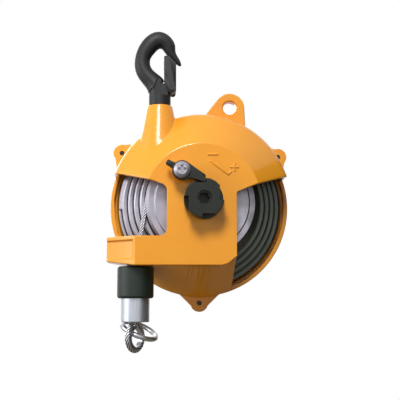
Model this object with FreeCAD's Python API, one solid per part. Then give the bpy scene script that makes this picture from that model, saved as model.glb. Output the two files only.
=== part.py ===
import FreeCAD, Part
import math
import os

from FreeCAD import Placement, Rotation, Vector

# Spring balancer with a conical rope drum. All sizes are in millimetres. The model is laid out about the
# drum axis: X to the right, Y from the ratchet side (front) to the cover side (rear), Z up, and Y = 0 on the
# joint between the front casting and the rear cover. Every piece is then moved so that the origin lies on
# the seat of the upper hook.

FRONT, REAR, UP = Vector(0, -1, 0), Vector(0, 1, 0), Vector(0, 0, 1)
FIT = 0.05          # radial clearance of a shaft that turns in its bush
GAP = 0.3           # gap between bodies that move past each other
PLAY = 0.1          # end play of the swivel nut
LOOSE = 0.25        # radial clearance of a screw in its hole

# front casting
SHELL_R = 92.0      # outer radius of the drum casing and its flange
WALL = 4.0          # casting wall
FLANGE_T = 6.0      # thickness of the joint flange
RING_W = 6.0        # radial width of the flange where it is left bare in the windows
SHOULDER_Y = -40.0  # where the round casing starts to taper to the front plate
SHOULDER_ROUND = 14.0
PLATE_Y = -72.0     # front face of the flat plate
PLATE_R = 56.2      # edge of the plate above the windows
SKIRT_R = 62.6      # edge of the plate below the windows
WEB_LEFT, WEB_RIGHT = -34.9, 32.4   # sides of the plate between the windows
WINDOW_BOTTOM = -34.3
LEFT_SLOPE, LEFT_TOP = -0.31, 14.5      # upper edge of the left window, and its height at the web
RIGHT_SLOPE, RIGHT_TOP = 0.366, 8.6     # upper edge of the right window, and its height at the web
WINDOW_ROUND = 7.0

# ears that take the cover screws
EAR_CIRCLE_R = SHELL_R + 6.5
EAR_ANGLES = (145.0, 33.0, 270.0)
EAR_R = 9.0
EAR_SPREAD = 15.0
SCREW_R = 2.5
SCREW_HEAD_R, SCREW_HEAD_H = 4.25, 5.0

# safety lug
LUG_CIRCLE_R, LUG_ANGLE = SHELL_R + 16.1, math.radians(73.3)
LUG_X, LUG_Z = LUG_CIRCLE_R * math.cos(LUG_ANGLE), LUG_CIRCLE_R * math.sin(LUG_ANGLE)
LUG_R, LUG_HOLE_R = 15.5, 7.0
LUG_T = 12.0
LUG_FRONT = -16.0
LUG_CHAMFER = 1.2

# hook boss and swivel
HOOK_X, HOOK_Y = -42.0, -38.0
BOSS_TOP = SHELL_R + 7.0
BOSS_TOP_R, BOSS_SLOPE = 12.75, 0.2
BOSS_FOOT = 30.0
SHANK_R = 7.0
POCKET_R, POCKET_TOP = 12.6, BOSS_TOP - 17.0
NUT_R, NUT_H = 11.0, 11.0
WASHER_T = 2.5
COLLAR_R, COLLAR_H = 11.0, 18.5

# rope outlet
ROPE_X, ROPE_Y = -64.8, -45.0
GUIDE_BOTTOM = -62.7
GUIDE_FRONT_X = -65.6       # where the front plate ends and the slanted side begins
GUIDE_SIDE_X, GUIDE_SIDE_Y = -SHELL_R - 1.5, -45.0
GUIDE_BACK_Y = -14.0
GUIDE_FLOOR = 9.0
GUIDE_RISE = 4.5            # how far the bottom rises along the slanted side
CORNER_ROUND = 16.0         # lower right corner of the plate
RECESS_D, RECESS_EDGE = 2.0, 4.2
BUSH_R, BUSH_BORE_R = 8.5, 3.6

# rope and drum
ROPE_R = 2.4
DRUM_FRONT, DRUM_BACK = -54.0, -8.0
DISC_R, LIP_R = 46.5, 53.0
CONE_FRONT, CONE_BACK = -50.0, -12.5
DRUM_CLEAR = 5.0    # between the drum and the casing's wall
CONE_LARGE_R = SHELL_R - WALL - DRUM_CLEAR
DRUM_WALL = 11.0
GROOVE_PITCH, GROOVE_TURNS = 7.5, 4.3
GROOVE_W, GROOVE_D = 5.4, 3.6
GROOVE_DEEPER = 0.9         # how much deeper the groove gets with each turn towards the rear
RUN_OUT = 120.0     # how far round the groove runs on in front of the rope's leaving point
CHAMBER_R, CHAMBER_WALL = 41.0, 5.0
HUB_R = 16.0

# spindle, ratchet and pawl
SPINDLE_R = 8.0
BUSH_WALL = 3.0
RATCHET_R, RATCHET_BACK, RATCHET_FRONT = 19.0, -76.0, -92.0
RATCHET_BASE = 3.0
NOTCH_FLOOR, NOTCH_STEP = 14.6, 1.9
SOCKET_FLATS, SOCKET_D = 10.0, 11.0
PAWL_X, PAWL_Z = -21.1, 27.0
PAWL_R, PAWL_T = 9.25, 8.0
PAWL_BACK = -79.5
PAWL_SCREW_R, PAWL_HEAD_R, PAWL_HEAD_H = 4.0, 8.0, 5.0
PAWL_TAIL_L, PAWL_TAIL_W, PAWL_TAIL_ANGLE = 16.7, 4.7, 150.0

# rear cover
COVER_T = 5.0
COVER_WALL = 3.5
COVER_DEPTH = 24.0
COVER_RIM, COVER_FALL = 8.0, 16.0    # widths of its flat rim and of its slope
COVER_HUB_R, COVER_HUB_H = 20.0, 5.0
COVER_RIBS, RIB_T = 6, 4.0

# rope end
STOPPER_R, STOPPER_L = 17.85, 31.0
FERRULE_R, FERRULE_TAIL = 13.9, 23.0
LOOP_L, LOOP_R = 30.0, 12.5
LOOP_TURN = 55.0            # how far the loop's plane is turned from the front
THIMBLE_T = 1.2
RING_R, RING_WIRE_R = 17.9, 2.5
RING_TILT, RING_NOD = 23.0, 16.0    # how far it leans to the right, and its near side down
RING_TURN = 80.0                    # direction from the loop to the ring's centre, seen from above


def on_circle(radius, degrees, y=0.0):
    """The point at this radius and angle about the drum axis."""
    a = math.radians(degrees)
    return Vector(radius * math.cos(a), y, radius * math.sin(a))


def outline(points, rounds=None):
    """A closed wire through the points, with a tangent arc at each corner that has a radius in rounds."""
    points = [Vector(p) for p in points]
    rounds = rounds or {}
    ends = []
    for i, p in enumerate(points):
        r = rounds.get(i, 0.0)
        if not r:
            ends.append((p, None, p))
            continue
        back = (points[i - 1] - p).normalize()
        ahead = (points[(i + 1) % len(points)] - p).normalize()
        half = back.getAngle(ahead) / 2
        reach = r / math.tan(half)
        middle = p + (back + ahead).normalize() * (r / math.sin(half) - r)
        ends.append((p + back * reach, middle, p + ahead * reach))
    edges = []
    for i, (start, middle, end) in enumerate(ends):
        if middle is not None:
            edges.append(Part.Arc(start, middle, end).toShape())
        following = ends[(i + 1) % len(ends)][0]
        if (following - end).Length > 1e-6:
            edges.append(Part.makeLine(end, following))
    return Part.Wire(edges)


def plate(points, y, thickness, rounds=None):
    """A flat piece: an outline of (x, z) points at depth y, as thick as said towards the rear."""
    wire = outline([(x, y, z) for x, z in points], rounds)
    return Part.Face(wire).extrude(REAR * thickness)


def slab(points, z, height, rounds=None):
    """A piece with an outline of (x, y) points, standing on height z."""
    wire = outline([(x, y, z) for x, y in points], rounds)
    return Part.Face(wire).extrude(UP * height)


def turned(points, centre=Vector(0, 0, 0), rounds=None):
    """A solid turned about an axis along Y through centre, from an outline of (radius, y) points."""
    wire = outline([(centre.x + r, y, centre.z) for r, y in points], rounds)
    return Part.Face(wire).revolve(centre, REAR, 360)


def upright(points, x, y, rounds=None):
    """A solid turned about a vertical axis at x, y, from an outline of (radius, z) points."""
    wire = outline([(x + r, y, z) for r, z in points], rounds)
    return Part.Face(wire).revolve(Vector(x, y, 0), UP, 360)


def rod(start, end, radius):
    axis = end - start
    return Part.makeCylinder(radius, axis.Length, start, axis)


def block(x, y, z):
    """A box between the two values given for each axis."""
    return Part.makeBox(x[1] - x[0], y[1] - y[0], z[1] - z[0], Vector(x[0], y[0], z[0]))


def hexagon_prism(flats, start, axis, length):
    """A hexagonal bar of this width across its flats, from start along axis."""
    place = Placement(start, Rotation(UP, axis))
    corner_r = flats / 2 / math.cos(math.radians(30))
    corners = []
    for i in range(7):
        a = math.radians(60 * i)
        corners.append(place.multVec(Vector(corner_r * math.cos(a), corner_r * math.sin(a), 0)))
    return Part.Face(Part.makePolygon(corners)).extrude(axis * length)


def swept(spine, section, hold):
    """A closed section carried along a spine, kept square to the direction hold."""
    pipe = Part.BRepOffsetAPI.MakePipeShell(spine)
    pipe.setBiNormalMode(hold)
    pipe.add(section)
    pipe.build()
    pipe.makeSolid()
    return pipe.shape()


def save(node, shape):
    """Moves a piece so that the hook seat is the origin, and writes it."""
    shape = shape.copy()
    shape.translate(Vector(0, 0, 0) - HOOK_SEAT)
    for solid in shape.Solids:
        if not solid.isValid() or solid.Volume <= 0:
            raise ValueError(node + " has a solid that is not valid")
    if shape.ShapeType == "Compound" and len(shape.Solids) == 1:
        shape = shape.Solids[0]
    shape.exportStep("parts/" + node + ".step")


# ---------------------------------------------------------------- upper hook
# A forged swivel hook. Its section is carried round the bowl by stations: each is a place on the hook's
# centre line, given from the bowl's centre by an angle and a distance, with the radius of the forging there.
BOWL_RISE = 47.0    # of the bowl's centre above the boss
BOWL_Z = BOSS_TOP + BOWL_RISE
HOOK_STATIONS = (
    (262.0, 27.0, 10.2), (240.0, 20.8, 8.8), (214.0, 19.3, 8.2), (184.0, 18.0, 7.8), (154.0, 17.7, 8.0),
    (124.0, 19.2, 8.7), (94.0, 22.0, 8.8), (66.0, 19.0, 7.3), (38.0, 14.4, 5.0), (10.0, 15.8, 3.4),
    (352.0, 20.0, 2.0),
)
HOOK_SEAT = Vector(HOOK_X, HOOK_Y, BOWL_Z + HOOK_STATIONS[6][1] - HOOK_STATIONS[6][2])
COLLAR_FOOT = BOSS_TOP + GAP
COLLAR_TOP = COLLAR_FOOT + COLLAR_H
LATCH_X, LATCH_Z = HOOK_X + COLLAR_R + 1.2, COLLAR_TOP - 1.8
LATCH_PIN_R = 1.6
LATCH_L = 33.6      # from the pin to the head
LATCH_DEPTH = 12.3  # across the side of the channel
LATCH_OUT = 4.1     # from the pin to the channel's back
LATCH_SHEET = 1.4
LATCH_W = 18.0
FLATS_W, FLATS_R = LATCH_W - 2 * LATCH_SHEET - 2 * GAP, 18.0    # flats on the neck, between the cheeks
FLATS_FOOT = COLLAR_FOOT + 10.0
LATCH_LUG_R, LATCH_LUG_W = 4.2, 9.0


def hook_centre(station):
    angle, distance, _ = station
    a = math.radians(angle)
    return Vector(HOOK_X + distance * math.cos(a), HOOK_Y, BOWL_Z + distance * math.sin(a))


def make_hook():
    centres = [hook_centre(s) for s in HOOK_STATIONS]
    rings = []
    for i, station in enumerate(HOOK_STATIONS):
        before, after = centres[max(i - 1, 0)], centres[min(i + 1, len(centres) - 1)]
        direction = (after - before).normalize()
        rings.append(Part.Wire(Part.Circle(centres[i], direction, station[2]).toShape()))
    tip_r = HOOK_STATIONS[-1][2]
    rings.append(Part.Wire(Part.Circle(centres[-1] + direction * tip_r, direction, tip_r / 2).toShape()))
    bowl = Part.makeLoft(rings, True, False)
    shank_foot = POCKET_TOP - WASHER_T - NUT_H - 3.0
    collar = upright(
        [(0, shank_foot), (SHANK_R, shank_foot), (SHANK_R, COLLAR_FOOT), (COLLAR_R, COLLAR_FOOT),
         (COLLAR_R, COLLAR_TOP), (COLLAR_R - 1.5, COLLAR_TOP + 3.5), (0, COLLAR_TOP + 3.5)],
        HOOK_X, HOOK_Y, {4: 1.5})
    lug_start = Vector(LATCH_X, HOOK_Y - LATCH_LUG_W / 2, LATCH_Z)
    lug = rod(lug_start, lug_start + REAR * LATCH_LUG_W, LATCH_LUG_R)
    bridge = block((HOOK_X, LATCH_X), (lug_start.y, lug_start.y + LATCH_LUG_W),
                   (LATCH_Z - LATCH_LUG_R, LATCH_Z + LATCH_LUG_R))
    forging = bowl.fuse(collar)
    for side in (-1, 1):
        flat = Part.makeCylinder(FLATS_R, 10, Vector(LATCH_X, HOOK_Y + side * (FLATS_W / 2 + 5) - 5, LATCH_Z), REAR)
        above = block((LATCH_X - 2 * FLATS_R, LATCH_X + 2 * FLATS_R), (HOOK_Y - 20, HOOK_Y + 20),
                      (FLATS_FOOT, LATCH_Z + 2 * FLATS_R))
        forging = forging.cut(flat.common(above))
    hook = forging.fuse([lug, bridge])
    hook = hook.cut(rod(lug_start - REAR * 5, lug_start + REAR * (LATCH_LUG_W + 5), LATCH_PIN_R))
    pin_z = POCKET_TOP - WASHER_T - PLAY - NUT_H / 2
    hook = hook.cut(rod(Vector(HOOK_X - 20, HOOK_Y, pin_z), Vector(HOOK_X + 20, HOOK_Y, pin_z), 1.5))
    save("upper_hook", hook)

    nut = upright([(SHANK_R, pin_z - NUT_H / 2), (NUT_R, pin_z - NUT_H / 2), (NUT_R, pin_z + NUT_H / 2),
                   (SHANK_R, pin_z + NUT_H / 2)], HOOK_X, HOOK_Y)
    nut = nut.cut(rod(Vector(HOOK_X - 20, HOOK_Y, pin_z), Vector(HOOK_X + 20, HOOK_Y, pin_z), 1.5))
    save("hook_nut", nut)
    save("hook_nut_pin", rod(Vector(HOOK_X - NUT_R, HOOK_Y, pin_z), Vector(HOOK_X + NUT_R, HOOK_Y, pin_z), 1.5))
    save("hook_thrust_washer", upright(
        [(SHANK_R + FIT, POCKET_TOP - WASHER_T), (NUT_R, POCKET_TOP - WASHER_T), (NUT_R, POCKET_TOP),
         (SHANK_R + FIT, POCKET_TOP)], HOOK_X, HOOK_Y))


# ---------------------------------------------------------------- latch of the hook
# A channel bent from sheet: its back closes the mouth, and its two cheeks straddle the flats of the hook's
# neck. Its head slants to rest inside the hook's nose.
def make_latch():
    y0 = HOOK_Y - LATCH_W / 2
    back, left, head = LATCH_OUT, LATCH_OUT - LATCH_DEPTH, LATCH_OUT - 7.2
    side = [(left + 3.5, -4.0), (back, -5.4), (back, LATCH_L - 7.4), (head, LATCH_L), (left, LATCH_L),
            (left + 0.5, 6.5)]
    shape = plate([(LATCH_X + x, LATCH_Z + z) for x, z in side], y0, LATCH_W, {0: 2.0, 1: 3.0, 4: 1.5, 5: 2.0})
    inner = back - LATCH_SHEET
    inside = plate(
        [(LATCH_X + x, LATCH_Z + z) for x, z in
         [(left - 1, -9.0), (inner, -9.0), (inner, LATCH_L - 8.0), (head - 5.5, LATCH_L + 3.0),
          (left - 1, LATCH_L + 3.0)]],
        y0 + LATCH_SHEET, LATCH_W - 2 * LATCH_SHEET)
    latch = shape.cut(inside)
    room = LATCH_LUG_W / 2 + GAP
    foot = block((LATCH_X - 9, LATCH_X + 9), (HOOK_Y - room, HOOK_Y + room), (LATCH_Z - 9, LATCH_Z + 6.5))
    latch = latch.cut(foot)
    start = Vector(LATCH_X, y0 - 2, LATCH_Z)
    latch = latch.cut(rod(start, start + REAR * (LATCH_W + 4), LATCH_PIN_R + FIT))
    save("hook_latch", latch)
    pin = rod(Vector(LATCH_X, y0 - 0.8, LATCH_Z), Vector(LATCH_X, y0 + LATCH_W + 0.8, LATCH_Z), LATCH_PIN_R)
    for y in (y0 - 1.6, y0 + LATCH_W + GAP):
        head = Vector(LATCH_X, y, LATCH_Z)
        pin = pin.fuse(rod(head, head + REAR * 1.3, LATCH_PIN_R + 0.9))
    save("latch_pin", pin)
    coil_r, wire = 2.6, 0.5
    coils = []
    for y in (HOOK_Y - 5.9, HOOK_Y + 5.9):
        coil = Part.makeCylinder(coil_r, 1.2, Vector(LATCH_X, y - 0.6, LATCH_Z), REAR)
        coils.append(coil.cut(Part.makeCylinder(coil_r - wire, 1.2, Vector(LATCH_X, y - 0.6, LATCH_Z), REAR)))
    save("latch_spring", Part.makeCompound(coils))


# ---------------------------------------------------------------- front casting
def ear_outline(angle):
    """The corners of an ear's foot on the flange, and the centre of its screw hole."""
    centre = on_circle(EAR_CIRCLE_R, angle)
    along = on_circle(1.0, angle)
    across = on_circle(1.0, angle + 90)
    foot = along * (SHELL_R - RING_W)
    near, far = foot - across * (EAR_R + EAR_SPREAD), foot + across * (EAR_R + EAR_SPREAD)
    return near, centre - across * EAR_R * 0.92 + along * 3.0, centre + across * EAR_R * 0.92 + along * 3.0, far


def ears(y, thickness, hole_r):
    """Three screw ears with a wide foot, from depth y towards the rear, and the cutters of their holes."""
    solids, holes = [], []
    for angle in EAR_ANGLES:
        centre = on_circle(EAR_CIRCLE_R, angle, y)
        corners = [(p.x, p.z) for p in ear_outline(angle)]
        web = plate(corners, y, thickness)
        solids.append(web.fuse(rod(centre, centre + REAR * thickness, EAR_R)))
        holes.append(rod(centre - REAR * 30, centre + REAR * 30, hole_r))
    return solids, holes


def shell_profile(plate_r, shoulder_y, inset):
    """Half section of the casing: its plate, taper and round wall, drawn in by inset on the inside."""
    slope = math.atan2(shoulder_y - PLATE_Y, SHELL_R - plate_r)
    step = inset * math.tan(slope / 2)
    return [(0, PLATE_Y + inset), (plate_r - step, PLATE_Y + inset), (SHELL_R - inset, shoulder_y + step),
            (SHELL_R - inset, 0), (0, 0)]


def casing(inset):
    """The casing's round form: a short taper above the windows and a long one below them."""
    big = SHELL_R + 10
    upper = turned(shell_profile(PLATE_R, SHOULDER_Y, inset), rounds={2: SHOULDER_ROUND - inset})
    upper = upper.common(block((-big, big), (-big, big), (0, big)))
    lower = turned(shell_profile(SKIRT_R, -FLANGE_T - 2.0, inset))
    lower = lower.common(block((-big, big), (-big, big), (-big, 0)))
    return upper.fuse(lower)


def guide_plan(inset):
    """Plan of the rope guide, seen from above."""
    side = GUIDE_SIDE_X + inset
    return [(WEB_LEFT + 2, PLATE_Y + inset), (GUIDE_FRONT_X + inset * 0.4, PLATE_Y + inset),
            (side, GUIDE_SIDE_Y + inset * 0.4), (side, GUIDE_BACK_Y - inset), (side + 11, -FLANGE_T),
            (WEB_LEFT + 2, -FLANGE_T)]


def touch(point, centre, radius, side):
    """Where the tangent from a point meets a circle in a plane across Y; side is 1 or -1."""
    reach = (point - centre).Length
    angle = math.atan2(point.z - centre.z, point.x - centre.x) + side * math.acos(radius / reach)
    return centre + Vector(radius * math.cos(angle), 0, radius * math.sin(angle))


def make_lug():
    """The lug of the safety chain: a round head on two straight flanks that spread into the casing."""
    outwards = Vector(LUG_X, 0, LUG_Z).normalize()
    across = Vector(-outwards.z, 0, outwards.x)
    head = Vector(LUG_X, LUG_FRONT, LUG_Z)
    root = outwards * (SHELL_R - RING_W) + Vector(0, LUG_FRONT, 0)
    left, right = root + across * 25, root - across * 24
    deep = outwards * -6
    left_touch, right_touch = touch(left, head, LUG_R, -1), touch(right, head, LUG_R, 1)
    wire = Part.Wire([
        Part.makeLine(left + deep, left), Part.makeLine(left, left_touch),
        Part.Arc(left_touch, head + outwards * LUG_R, right_touch).toShape(),
        Part.makeLine(right_touch, right), Part.makeLine(right, right + deep),
        Part.makeLine(right + deep, left + deep)])
    return Part.Face(wire).extrude(REAR * LUG_T)


def make_front_casting():
    body = casing(0.0)
    flange = turned([(0, -FLANGE_T), (SHELL_R, -FLANGE_T), (SHELL_R, 0), (0, 0)])
    guide = slab(guide_plan(0.0), GUIDE_BOTTOM, WINDOW_BOTTOM - GUIDE_BOTTOM)
    boss_r = BOSS_TOP_R + BOSS_SLOPE * (BOSS_TOP - BOSS_FOOT)
    boss = Part.makeCone(boss_r, BOSS_TOP_R, BOSS_TOP - BOSS_FOOT, Vector(HOOK_X, HOOK_Y, BOSS_FOOT))
    lug = make_lug()
    ear_solids, ear_holes = ears(-FLANGE_T, FLANGE_T, SCREW_R + FIT)
    apron = plate([(GUIDE_FRONT_X, WINDOW_BOTTOM - 8), (GUIDE_FRONT_X, GUIDE_BOTTOM), (WEB_RIGHT, GUIDE_BOTTOM),
                   (WEB_RIGHT, WINDOW_BOTTOM - 8)], PLATE_Y, 2 * WALL + 4, {2: CORNER_ROUND})
    body = body.fuse([flange, guide, apron, boss, lug] + ear_solids)

    body = body.cut(casing(WALL))
    pocket_floor = POCKET_TOP - 34
    body = body.cut(rod(Vector(HOOK_X, HOOK_Y, pocket_floor), Vector(HOOK_X, HOOK_Y, POCKET_TOP), POCKET_R))
    body = body.cut(rod(Vector(HOOK_X, HOOK_Y, POCKET_TOP - 1), Vector(HOOK_X, HOOK_Y, BOSS_TOP + 1),
                        SHANK_R + FIT))
    inner_floor = GUIDE_BOTTOM + GUIDE_FLOOR
    body = body.cut(slab(guide_plan(WALL), inner_floor, 60))

    # the two windows leave the web of the plate, the roof of the casing and the flange ring
    far = SHELL_R + 20
    front, depth = PLATE_Y - 5, -FLANGE_T - PLATE_Y + 5
    left_far = LEFT_TOP + LEFT_SLOPE * (-far - WEB_LEFT)
    body = body.cut(plate([(WEB_LEFT, WINDOW_BOTTOM), (WEB_LEFT, LEFT_TOP), (-far, left_far),
                           (-far, WINDOW_BOTTOM)], front, depth, {0: WINDOW_ROUND, 1: WINDOW_ROUND}))
    right_far = RIGHT_TOP + RIGHT_SLOPE * (far - WEB_RIGHT)
    body = body.cut(plate([(WEB_RIGHT, -far), (far, -far), (far, right_far), (WEB_RIGHT, RIGHT_TOP)],
                          front, depth, {3: WINDOW_ROUND * 0.4}))
    body = body.cut(turned([(0, -FLANGE_T - 1), (SHELL_R - RING_W, -FLANGE_T - 1), (SHELL_R - RING_W, 1), (0, 1)]))

    # bosses of the spindle and the pawl, on the plate
    hub = turned([(0, PLATE_Y), (HUB_R, PLATE_Y), (HUB_R, DRUM_FRONT - 3), (0, DRUM_FRONT - 3)])
    pivot = Vector(PAWL_X, PAWL_BACK + GAP, PAWL_Z)
    pawl_boss = rod(pivot, Vector(PAWL_X, PLATE_Y + 14, PAWL_Z), PAWL_R - 1)
    body = body.fuse([hub, pawl_boss])
    body = body.cut(rod(Vector(0, PLATE_Y - 1, 0), Vector(0, 0, 0), SPINDLE_R + BUSH_WALL))
    body = body.cut(rod(pivot - REAR * 5, pivot + REAR * 30, PAWL_SCREW_R))

    # outlet hole for the guide bush, the recess of the slanted side and its raised lower edge
    body = body.cut(rod(Vector(ROPE_X, ROPE_Y, GUIDE_BOTTOM - 1), Vector(ROPE_X, ROPE_Y, inner_floor + 1), BUSH_R))
    start = Vector(GUIDE_FRONT_X, PLATE_Y, 0)
    along = (Vector(GUIDE_SIDE_X, GUIDE_SIDE_Y, 0) - start)
    normal = Vector(along.y, -along.x, 0).normalize()
    if normal.x > 0:
        normal = normal * -1
    run = along.Length
    along.normalize()
    low, high = GUIDE_BOTTOM + RECESS_EDGE + 2.5, WINDOW_BOTTOM - RECESS_EDGE
    corners = [start + along * 2.2, start + along * (run + 9), start + along * (run + 9) - normal * RECESS_D,
               start + along * (2.2 + RECESS_D) - normal * RECESS_D]
    recess = slab([(p.x, p.y) for p in corners], low, high - low)
    body = body.cut(recess)
    body = body.cut(ear_holes)
    lug_axis = Vector(LUG_X, LUG_FRONT - 1, LUG_Z)
    body = body.cut(rod(lug_axis, lug_axis + REAR * (LUG_T + 2), LUG_HOLE_R))
    for y, outward in ((LUG_FRONT, FRONT), (LUG_FRONT + LUG_T, REAR)):
        mouth = Vector(LUG_X, y, LUG_Z)
        body = body.cut(Part.makeCone(LUG_HOLE_R, LUG_HOLE_R + LUG_CHAMFER, LUG_CHAMFER,
                                      mouth - outward * LUG_CHAMFER, outward))
    # the bottom rises along the slanted side
    rise = [(GUIDE_FRONT_X, GUIDE_BOTTOM), (GUIDE_SIDE_X - 1, GUIDE_BOTTOM + GUIDE_RISE),
            (GUIDE_SIDE_X - 1, GUIDE_BOTTOM - 1), (GUIDE_FRONT_X, GUIDE_BOTTOM - 1)]
    body = body.cut(plate(rise, PLATE_Y - 1, GUIDE_BACK_Y - PLATE_Y + 20))
    save("front_housing", body)


# ---------------------------------------------------------------- rear cover
def make_rear_cover():
    hub_back = COVER_DEPTH + COVER_HUB_H
    slope_top = SHELL_R - COVER_RIM - COVER_FALL
    dome = [(0, 0), (SHELL_R, 0), (SHELL_R, COVER_T), (SHELL_R - COVER_RIM, COVER_T),
            (slope_top, COVER_DEPTH - 3), (COVER_HUB_R + 6, COVER_DEPTH), (0, COVER_DEPTH)]
    inner = [(0, -1), (SHELL_R - RING_W, -1), (SHELL_R - RING_W - 4, COVER_T),
             (slope_top - 2, COVER_DEPTH - 3 - COVER_WALL), (COVER_HUB_R + 5, COVER_DEPTH - COVER_WALL),
             (0, COVER_DEPTH - COVER_WALL)]
    ear_solids, ear_holes = ears(0.0, COVER_T, SCREW_R + LOOSE)
    ribs = []
    for i in range(COVER_RIBS):
        rib = plate([(COVER_HUB_R - 4, -RIB_T / 2), (SHELL_R - 12, -RIB_T / 2), (SHELL_R - 12, RIB_T / 2),
                     (COVER_HUB_R - 4, RIB_T / 2)], COVER_T, COVER_DEPTH - COVER_T + 2)
        rib = rib.common(turned([(0, 0), (SHELL_R - 6, 0), (SHELL_R - 10, COVER_T), (slope_top + 1, COVER_DEPTH),
                                 (COVER_HUB_R, COVER_DEPTH + 2.5), (0, COVER_DEPTH + 2.5)]))
        rib.rotate(Vector(0, 0, 0), REAR, 30 + 360 / COVER_RIBS * i)
        ribs.append(rib)
    cover = turned(dome, rounds={4: 8.0}).fuse(ear_solids + ribs)
    cover = cover.cut(turned(inner))
    hub = turned([(0, 3), (HUB_R, 3), (HUB_R, COVER_DEPTH - 1), (COVER_HUB_R, COVER_DEPTH - 1),
                  (COVER_HUB_R, hub_back), (0, hub_back)], rounds={4: 2.0})
    cover = cover.fuse(hub)
    cover = cover.cut(rod(Vector(0, 0, 0), Vector(0, COVER_DEPTH, 0), SPINDLE_R + BUSH_WALL))
    cover = cover.cut(ear_holes)
    save("rear_cover", cover)
    save("rear_spindle_bush", bush(3, COVER_DEPTH))

    screws = []
    for angle in EAR_ANGLES:
        face = on_circle(EAR_CIRCLE_R, angle, COVER_T)
        head = rod(face, face + REAR * SCREW_HEAD_H, SCREW_HEAD_R)
        head = head.cut(hexagon_prism(4.0, face + REAR * (SCREW_HEAD_H - 2.5), REAR, 3.0))
        screws.append(head.fuse(rod(face + FRONT * (COVER_T + FLANGE_T - 1.0), face, SCREW_R)))
    save("cover_screws", Part.makeCompound(screws))


def bush(start, end):
    """A plain bush for the spindle between two depths."""
    return turned([(SPINDLE_R + FIT, start), (SPINDLE_R + BUSH_WALL, start), (SPINDLE_R + BUSH_WALL, end),
                   (SPINDLE_R + FIT, end)])


# ---------------------------------------------------------------- drum
CONE_SLOPE = (CONE_LARGE_R - LIP_R) / (CONE_BACK - CONE_FRONT)
GROOVE_START = CONE_FRONT + 1.2
FLOOR_R = LIP_R - GROOVE_D
FLOOR_SLOPE = CONE_SLOPE - GROOVE_DEEPER / GROOVE_PITCH
ROPE_SEAT = 0.12    # gap between the wound rope and the floor of its groove
LEAVE_Y = GROOVE_START + GROOVE_W / 2 + GROOVE_PITCH * RUN_OUT / 360
LEAVE_R = FLOOR_R + ROPE_SEAT + ROPE_R + FLOOR_SLOPE * GROOVE_PITCH * RUN_OUT / 360
KNEE = Vector(ROPE_X, ROPE_Y, GUIDE_BOTTOM + 2.0)


def leave_angle():
    """Where the straight rope touches the drum: the tangent from the knee in the guide bush to the groove."""
    reach = math.hypot(KNEE.x, KNEE.z)
    return math.degrees(math.atan2(KNEE.z, KNEE.x)) % 360 - math.degrees(math.acos(LEAVE_R / reach))


def cone_helix(radius, y, turns, start_angle):
    """A spiral along the groove, from this radius, depth and angle rearwards, clockwise seen from the front."""
    slope = math.atan(FLOOR_SLOPE)
    rise = GROOVE_PITCH / math.cos(slope)       # of one turn, measured along the side of the cone
    spiral = Part.makeHelix(rise, rise * turns, radius, math.degrees(slope))
    laid = Rotation(FRONT, start_angle).multiply(Rotation(Vector(1, 0, 0), -90))
    spiral.Placement = Placement(Vector(0, y, 0), laid)
    return Part.Wire(spiral.Edges)


def groove_sweep(spine, section):
    """Carries a section of (outwards, rearwards) points along a spiral, from the spiral's first point."""
    edge = spine.Edges[0]
    start = edge.valueAt(edge.FirstParameter)
    outwards = Vector(start.x, 0, start.z).normalize()
    corners = [start + outwards * a + REAR * b for a, b in section]
    return swept(spine, Part.makePolygon(corners + corners[:1]), REAR)


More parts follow.
